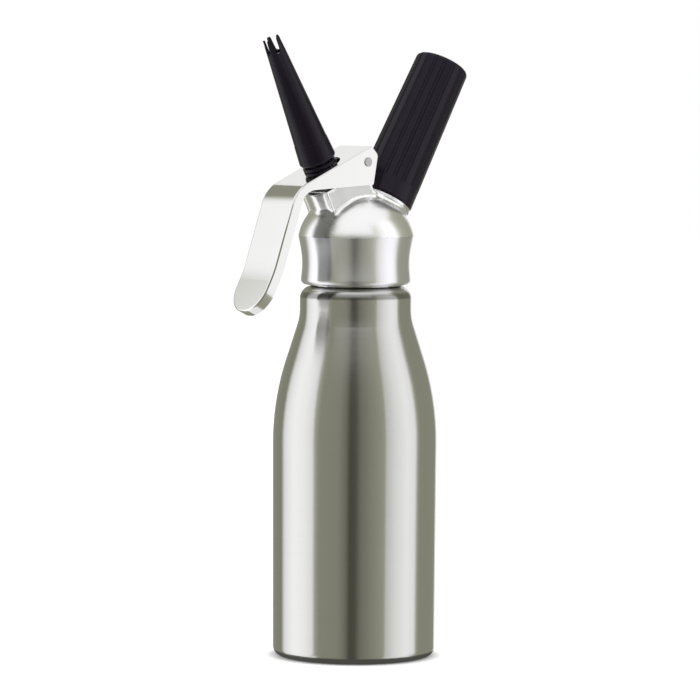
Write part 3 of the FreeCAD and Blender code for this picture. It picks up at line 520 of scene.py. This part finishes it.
def castingDistance(points):
    # how far outside the skin each point lies, negative inside it
    height = points[:, 2] - layout["meetingHeight"]
    radius = np.hypot(points[:, 0], points[:, 1])
    reach = np.interp(np.arctan2(radius, height), domeAngles, domeReaches)
    dome = np.hypot(radius, height) - reach
    valve = intoAxis(points, layout["valveLean"])
    charger = intoAxis(points, layout["chargerLean"])
    cup = roundBar(*valve, casting["cupRadius"], casting["cupTop"], casting["cupRound"])
    saddle = roundBlock(*valve, (casting["saddleFront"], casting["rootFloor"]),
                        (casting["saddleBack"], casting["saddleTop"]),
                        casting["saddleHalfWidth"], casting["saddleRound"])
    boss = roundBar(*charger, casting["bossRadius"], casting["bossTop"], casting["bossRound"])
    wing = roundBlock(*charger, (-casting["bossRadius"], casting["rootFloor"]),
                      (0, casting["bossTop"]),
                      casting["saddleHalfWidth"], casting["saddleRound"])
    whole = smoothUnion(cup, saddle, casting["cupFillet"])
    whole = smoothUnion(whole, smoothUnion(boss, wing, casting["bossFillet"]),
                        casting["bossFillet"])
    whole = smoothUnion(whole, dome, casting["domeFillet"])
    bore = np.maximum(np.hypot(valve[0], valve[1]) - casting["cupBore"],
                      casting["cupBoreFloor"] - valve[2])
    return np.maximum(whole, -bore) - casting["standOff"]


def slopeOf(field, points, reach=0.00002):
    # which way the field grows fastest at each point, and how fast
    slope = np.empty_like(points)
    for side in range(3):
        step = np.zeros(3)
        step[side] = reach
        slope[:, side] = (field(points + step) - field(points - step)) / (2 * reach)
    return slope


def fieldSurface(field, low, high, cell, rounds=4):
    # one point for each cell that the surface crosses, and one face for each cell edge
    counts = [int(math.ceil((top - bottom) / cell)) + 1 for bottom, top in zip(low, high)]
    lines = [bottom + cell * np.arange(count) for bottom, count in zip(low, counts)]
    grid = np.stack(np.meshgrid(*lines, indexing="ij"), axis=-1).reshape(-1, 3)
    filled = (field(grid) < 0).reshape(counts)
    corners = 0
    for shifts in itertools.product((0, 1), repeat=3):
        corners = corners + filled[tuple(slice(shift, count - 1 + shift)
                                         for shift, count in zip(shifts, counts))].astype(int)
    crossed = (corners > 0) & (corners < 8)
    number = np.full(crossed.shape, -1)
    number[crossed] = np.arange(crossed.sum())
    points = np.array(low) + (np.argwhere(crossed) + 0.5) * cell
    for _ in range(rounds):    # each brings the points nearer to the surface
        slope = slopeOf(field, points)
        shift = field(points)[:, None] * slope / (slope ** 2).sum(axis=1, keepdims=True)
        points -= np.clip(shift, -cell, cell)
    faces = []
    for side in range(3):
        solid = np.moveaxis(filled, side, 0)
        cells = np.moveaxis(number, side, 0)
        layer, row, column = np.nonzero(solid[1:, 1:-1, 1:-1] != solid[:-1, 1:-1, 1:-1])
        quads = np.stack([cells[layer, row, column], cells[layer, row + 1, column],
                          cells[layer, row + 1, column + 1], cells[layer, row, column + 1]],
                         axis=1)
        backwards = solid[layer, row + 1, column + 1] == (side == 1)
        quads[backwards] = quads[backwards][:, ::-1]
        faces.append(quads)
    return points, np.concatenate(faces)


def skinShown(points):
    # the skin stops at the crease, at the collar and inside the cup
    valve = intoAxis(points, layout["valveLean"])
    charger = intoAxis(points, layout["chargerLean"])
    inwards, down = casting["collarGap"]
    collar = ((charger[2] > casting["bossTop"] - down)
              & (np.hypot(charger[0], charger[1]) < casting["bossRadius"] - inwards)
              & (valve[0] > casting["collarFrom"]))
    inwards, up = casting["boreGap"]
    bore = ((np.hypot(valve[0], valve[1]) < casting["cupBore"] - inwards)
            & (valve[2] < casting["cupBoreFloor"] + up))
    return (points[:, 2] > casting["crease"][1]) & ~collar & ~bore


def makeCastingSkin():
    half = casting["roomHalfWidth"]
    bottom = casting["crease"][1] - casting["roomBelowCrease"]
    points, faces = fieldSurface(castingDistance, (-half, -half, bottom),
                                 (half, half, casting["roomTop"]), casting["cell"])
    faces = faces[skinShown(points)[faces].all(axis=1)]
    used = np.unique(faces)
    renumber = np.full(len(points), -1)
    renumber[used] = np.arange(len(used))
    points, faces = points[used], renumber[faces]
    normals = slopeOf(castingDistance, points)
    normals /= np.linalg.norm(normals, axis=1, keepdims=True)
    skin = meshPiece("castingSkin", points, faces, "dome", "head", normals)
    # painted shade: faces on the saddle that look straight sideways take the darker steel
    shadedSides = ((np.abs(normals[:, 1]) > casting["shadedTilt"])
              & (np.abs(points[:, 1]) < casting["saddleHalfWidth"] + casting["shadedMargin"]))
    skin.data.materials.append(finishes["saddle"])
    skin.data.polygons.foreach_set("material_index", shadedSides[faces].all(axis=1).astype(int))


makeCastingSkin()
print("casting skin done")


# the valve's return spring, measured along the valve's axis from the meeting point
spring = {
    "coilRadius": 0.0055, "wireRadius": 0.00055,
    "bottom": 0.0357, "top": 0.0461,
    "turns": 5,
    "pressedShare": 0.74,     # what is left of its length with the lever pressed
    "stepsPerTurn": 36, "wireSides": 10,
}


def makeSpring():
    lean = math.radians(layout["valveLean"])
    up = Vector((math.sin(lean), 0, math.cos(lean)))
    side = Vector((up.z, 0, -up.x))
    front = Vector((0, 1, 0))
    meeting = Vector((0, 0, layout["meetingHeight"]))
    wire = spring["wireRadius"]
    rise = spring["top"] - spring["bottom"] - 2 * wire
    sides = spring["wireSides"]
    steps = spring["turns"] * spring["stepsPerTurn"]
    points, faces = [], []
    for step in range(steps + 1):
        turn = 2 * math.pi * step / spring["stepsPerTurn"]
        outward = side * math.cos(turn) + front * math.sin(turn)
        height = spring["bottom"] + wire + rise * step / steps
        middle = meeting + up * height + outward * spring["coilRadius"]
        for spot in range(sides):
            angle = 2 * math.pi * spot / sides
            points.append(middle + (outward * math.cos(angle) + up * math.sin(angle)) * wire)
    for step in range(steps):
        for spot in range(sides):
            here = step * sides + spot
            beside = step * sides + (spot + 1) % sides
            faces.append((here, beside, beside + sides, here + sides))
    faces.append(tuple(range(sides))[::-1])
    faces.append(tuple(range(steps * sides, (steps + 1) * sides)))
    coil = meshPiece("returnSpring", points, faces, "machined", "head")
    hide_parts("valve_spring")
    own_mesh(coil)


makeSpring()
print("spring done")


# the studio is laid out from the camera
view = {
    "turn": -35.0, "reach": 2.030, "height": 0.2817,
    "pitch": 3.68, "roll": 0.33,
    "aimLeft": 0.0027,        # how far left of the bottle's axis the camera aims
    "lens": 212.2, "sensor": 36,
}


def heading(angle):
    # the way out from the bottle, in degrees to the right of the camera
    turn = math.radians(view["turn"] + angle)
    return Vector((math.sin(turn), -math.cos(turn), 0))


def addCamera():
    lens = bpy.data.cameras.new("camera")
    lens.sensor_width = view["sensor"]
    lens.lens = view["lens"]
    camera = bpy.data.objects.new("camera", lens)
    spot = heading(0) * view["reach"]
    camera.location = (spot.x, spot.y, view["height"])
    fall = view["reach"] * math.tan(math.radians(view["pitch"]))
    aim = heading(90) * -view["aimLeft"]
    aim.z = view["height"] - fall
    camera.rotation_euler = (aim - camera.location).to_track_quat("-Z", "Y").to_euler()
    camera.rotation_euler.rotate_axis("Z", math.radians(view["roll"]))
    bpy.context.scene.collection.objects.link(camera)
    bpy.context.scene.camera = camera


whiteWorld = {
    "colour": (1, 1, 1, 1),
    "light": 0.60,            # how strongly it lights the object
    "seen": 1.0,              # how bright the camera, reflections and glass show it
}


def addWorld():
    world = bpy.context.scene.world or bpy.data.worlds.new("studioWorld")
    bpy.context.scene.world = world
    shader = Shader(world)
    camera, glossy, through = [shader.add("ShaderNodeLightPath", output=name) for name in (
        "Is Camera Ray", "Is Glossy Ray", "Is Transmission Ray")]
    light, seen = [
        shader.add("ShaderNodeBackground", {}, {
            "Color": whiteWorld["colour"], "Strength": whiteWorld[name]})
        for name in ("light", "seen")]
    shown = shader.add("ShaderNodeMixShader", {}, {
        0: camera + glossy + through, 1: light, 2: seen})
    shader.add("ShaderNodeOutputWorld", {}, {"Surface": shown})


def stagePiece(name, points, faces, material):
    mesh = bpy.data.meshes.new(name)
    mesh.from_pydata([tuple(point) for point in points], [], faces)
    mesh.materials.append(material)
    piece = bpy.data.objects.new(name, mesh)
    bpy.context.scene.collection.objects.link(piece)
    return piece


def onlyReflected(piece):
    piece.visible_camera = False
    piece.visible_diffuse = False
    piece.visible_shadow = False
    piece.visible_transmission = False


table = {
    "halfWidth": 4.0,
    "pale": (0.86, 0.86, 0.86, 1),
    "lift": 0.55,             # how much brighter the camera sees it than it is lit
    "shadowLift": 0.15,         # and close to the foot, where the smaller lift paints a shadow round it
    "shadowLiftFrom": (0.0405, 0.0450),
    "shadeReach": 0.0435,
    "shade": (1, 1, 0.9, 1), "shadeStrength": 0.10,       # what the foot sees beneath it
    "rimStep": 10,
}


def addFloor():
    # pale, with the object's shadow on it and a painted shadow close round the foot
    shader = Shader(bpy.data.materials.new("paleFloor"))
    camera = shader.add("ShaderNodeLightPath", output="Is Camera Ray")
    pale = shader.add("ShaderNodeBsdfDiffuse", {}, {"Color": table["pale"]})
    away = shader.add("ShaderNodeVectorMath", {"operation": "LENGTH"},
                      {0: shader.place()}, "Value")
    # painted shadow: the camera sees less lift close to the foot, so the floor is darker there
    lift = shader.mixed(shader.step(away, *table["shadowLiftFrom"]),
                        [table["shadowLift"]] * 3, [table["lift"]] * 3)
    glow = shader.add("ShaderNodeEmission", {}, {"Color": lift, "Strength": 1.0})
    lifted = shader.add("ShaderNodeAddShader", {}, {0: pale, 1: glow})
    shader.surface(shader.add("ShaderNodeMixShader", {}, {0: camera, 1: pale, 2: lifted}))
    half = table["halfWidth"]
    corners = [(-half, -half, 0), (half, -half, 0), (half, half, 0), (-half, half, 0)]
    floor = stagePiece("floor", corners, [(0, 1, 2, 3)], shader.owner)
    floor.visible_glossy = False


def addFootShade():
    # the shade beneath the foot, which only the reflections show
    shader = Shader(bpy.data.materials.new("footShade"))
    shader.surface(shader.add("ShaderNodeEmission", {}, {
        "Color": table["shade"], "Strength": table["shadeStrength"]}))
    rim = [heading(angle) * table["shadeReach"] for angle in range(0, 360, table["rimStep"])]
    onlyReflected(stagePiece("footShade", rim, [tuple(range(len(rim)))], shader.owner))


# The tent round the table, as the polished metal sees it: each angle counts from the camera
# to the right, and its light goes smoothly on to the next one.
tent = {
    "reach": 1.10, "bottom": -1.40, "top": 1.30, "step": 3,
    "backTop": 0.70, "backFrom": 154,                # it is lower behind the object
    "end": 179.9,                                    # just short of where the angles start again
    "door": (-46, 38),                               # low and close by, in front of the camera
    "doorReach": 0.15, "doorTop": 0.258, "doorStep": 2,
    "olive": (1.0, 1.0, 0.80),
    "oliveBelow": 0.4, "whiteAbove": 0.8,            # dim cloth is olive and bright cloth white
    "strength": 1.15,
    "light": [
        (-180, 0.28), (-124, 0.27), (-121, 0.52), (-116, 0.95), (-104, 1.13), (-93, 1.22),
        (-75, 1.14), (-61, 0.95), (-57, 0.40), (-48, 0.30), (-20, 0.28), (-11, 0.19), (-6, 0.08),
        (1, 0.09), (8, 0.20), (30, 0.33), (42, 0.42), (45, 0.66), (60, 0.92), (78, 1.10),
        (93, 1.02), (98, 0.42), (104, 0.31), (154, 0.28), (158, 0.80), (172, 0.86),
        (176, 0.28), (180, 0.28),
    ],
}


def tentCloth():
    shader = Shader(bpy.data.materials.new("tent"))
    place = shader.add("ShaderNodeTexCoord", output="UV")
    across = shader.add("ShaderNodeSeparateXYZ", {}, {"Vector": place}, "X")
    full = max(light for angle, light in tent["light"])
    stops = []
    for angle, light in tent["light"]:
        share = (light - tent["oliveBelow"]) / (tent["whiteAbove"] - tent["oliveBelow"])
        share = min(max(share, 0), 1)
        tint = [part + (1 - part) * share for part in tent["olive"]]
        stops.append(((angle + 180) / 360, tuple(light / full * part for part in tint)))
    cloth = shader.add("ShaderNodeValToRGB", {"stops": stops}, {"Fac": across})
    return shader.surface(shader.add("ShaderNodeEmission", {}, {
        "Color": cloth, "Strength": full * tent["strength"]}))


def hangCloth(name, reach, angles, tops, material):
    # an upright cloth round the table, which only the reflections show
    points, faces = [], []
    for angle, top in zip(angles, tops):
        spot = heading(angle) * reach
        points += [(spot.x, spot.y, tent["bottom"]), (spot.x, spot.y, top)]
    for step in range(len(angles) - 1):
        low = 2 * step
        faces.append((low, low + 2, low + 3, low + 1))
    cloth = stagePiece(name, points, faces, material)
    places = cloth.data.uv_layers.new(name="places")
    for loop, place in zip(cloth.data.loops, places.data):
        angle = (angles[loop.vertex_index // 2] + 180) % 360
        place.uv = (angle / 360, loop.vertex_index % 2)
    onlyReflected(cloth)


def addTent():
    material = tentCloth()
    left, right = tent["door"]
    sides = {
        "tentRight": [*range(right, 180, tent["step"]), tent["end"]],
        "tentLeft": list(range(-180, left + 1, tent["step"])),
    }
    for name, angles in sides.items():
        tops = [tent["backTop"] if abs(angle) > tent["backFrom"] else tent["top"]
                for angle in angles]
        hangCloth(name, tent["reach"], angles, tops, material)
    angles = list(range(left, right + 1, tent["doorStep"]))
    hangCloth("tentDoor", tent["doorReach"], angles, [tent["doorTop"]] * len(angles), material)


# each lamp's angle is to the right of the camera
lamps = {
    "leftLamp": {"angle": -93, "reach": 1.3, "height": 0.6, "size": 1.2, "brightness": 1.1},
    "rightLamp": {"angle": 71, "reach": 1.3, "height": 0.6, "size": 1.2, "brightness": 1.3},
    "topLamp": {"angle": 20, "reach": 0.3, "height": 1.7, "size": 1.6, "brightness": 1.0},
}
lampAim = Vector((0, 0, 0.15))       # all three look at the middle of the object


def addLamp(name, angle, reach, height, size, brightness):
    lamp = bpy.data.lights.new(name, "AREA")
    lamp.shape = "SQUARE"
    lamp.size = size
    lamp.energy = brightness * math.pi * size * size
    holder = bpy.data.objects.new(name, lamp)
    holder.location = heading(angle) * reach
    holder.location.z = height
    holder.rotation_euler = (lampAim - holder.location).to_track_quat("-Z", "Y").to_euler()
    holder.visible_glossy = False
    bpy.context.scene.collection.objects.link(holder)


addWorld()
addFloor()
addFootShade()
addTent()
for name, setting in lamps.items():
    addLamp(name, **setting)
addCamera()
bpy.context.scene.view_settings.view_transform = "Standard"
print("studio done")
